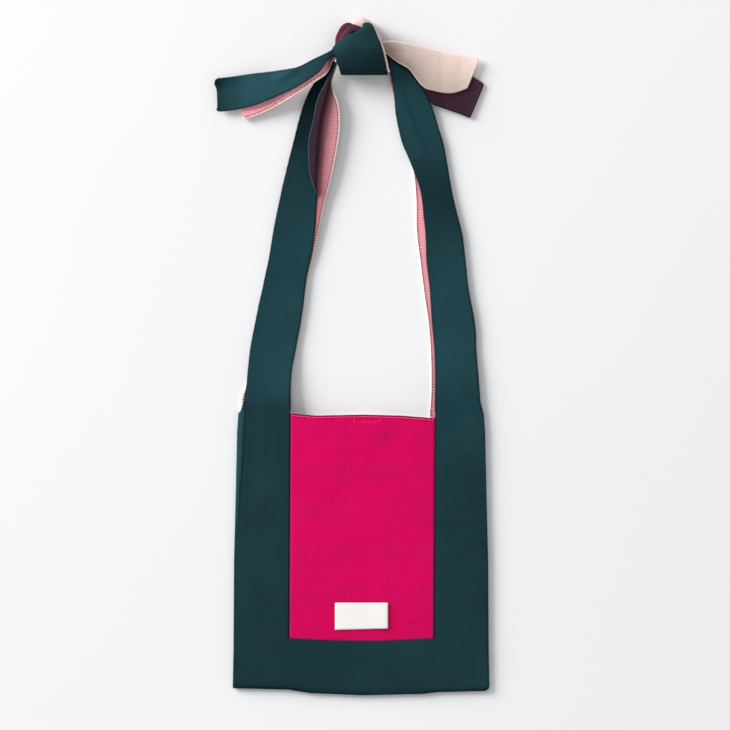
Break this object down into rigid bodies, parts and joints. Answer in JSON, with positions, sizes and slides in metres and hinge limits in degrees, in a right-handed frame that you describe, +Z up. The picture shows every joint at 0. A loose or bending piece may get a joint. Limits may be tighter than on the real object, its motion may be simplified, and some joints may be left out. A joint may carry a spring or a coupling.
{
  "type": "knot bag",
  "caption": "Flat knitted pouch with an inlaid front panel and paired shoulder straps tied in a knot with free tails.",
  "frame": {"origin": "middle of the pouch's back face, on the surface that the bag lies on", "axes": "+X to the right of the front, +Y from the pouch to the knot, +Z up out of the front"},
  "size_m": [0.2732, 0.6764, 0.03],
  "materials": {
    "knit_teal": "dense double-faced rib knit, matt, deep teal",
    "knit_magenta": "dense double-faced rib knit, matt, magenta",
    "knit_beige": "dense double-faced rib knit, matt, pale beige",
    "knit_pink": "dense double-faced rib knit, matt, salmon pink",
    "knit_plum": "dense double-faced rib knit, matt, dark plum",
    "sewing_thread": "pale pink sewing thread",
    "label_cloth": "fine woven off-white label tape, bare"
  },
  "bodies": {
    "pouch": {"back_panel": "knit_beige", "back_rim_hem": "knit_beige", "front_frame": "knit_teal", "front_inset": "knit_magenta", "front_rim_hem": "knit_magenta", "left_side_seam": "knit_teal", "right_side_seam": "knit_teal", "bottom_seam": "knit_teal", "front_label": "label_cloth", "inside_tag": "label_cloth", "tag_stitching": "sewing_thread"},
    "handle": {"left_front_strap": "knit_teal", "left_back_strap": "knit_pink", "right_front_strap": "knit_teal", "right_back_strap": "knit_pink", "knot_wrap": "knit_teal", "knot_wrap_lining": "knit_pink", "knot_top_loop": "knit_beige", "knot_left_loop": "knit_plum", "knot_lower_strand": "knit_pink", "knot_upper_strand": "knit_plum"},
    "left_tail": {"left_tail_lower": "knit_pink"},
    "left_tail_top": {"left_tail_upper": "knit_teal"},
    "right_tail": {"right_tail_lower": "knit_plum"},
    "right_tail_top": {"right_tail_upper": "knit_beige"}
  },
  "joints": [
    {"name": "handle_fold", "type": "hinge", "parent": "pouch", "child": "handle", "pos_m": [0, 0.1384, 0.0115], "axis": [1, 0, 0], "range_deg": [0, 150]},
    {"name": "left_tail_lift", "type": "hinge", "parent": "handle", "child": "left_tail", "pos_m": [-0.02985, 0.495, 0.0177], "axis": [0, 1, 0], "range_deg": [0, 50]},
    {"name": "left_tail_spread", "type": "hinge", "parent": "left_tail", "child": "left_tail_top", "pos_m": [-0.02985, 0.495, 0.0177], "axis": [0, 1, 0], "range_deg": [0, 30]},
    {"name": "right_tail_lift", "type": "hinge", "parent": "handle", "child": "right_tail", "pos_m": [0.02358, 0.503, 0.0177], "axis": [0, -1, 0], "range_deg": [0, 50]},
    {"name": "right_tail_spread", "type": "hinge", "parent": "right_tail", "child": "right_tail_top", "pos_m": [0.02358, 0.503, 0.0177], "axis": [0, -1, 0], "range_deg": [0, 30]}
  ]
}
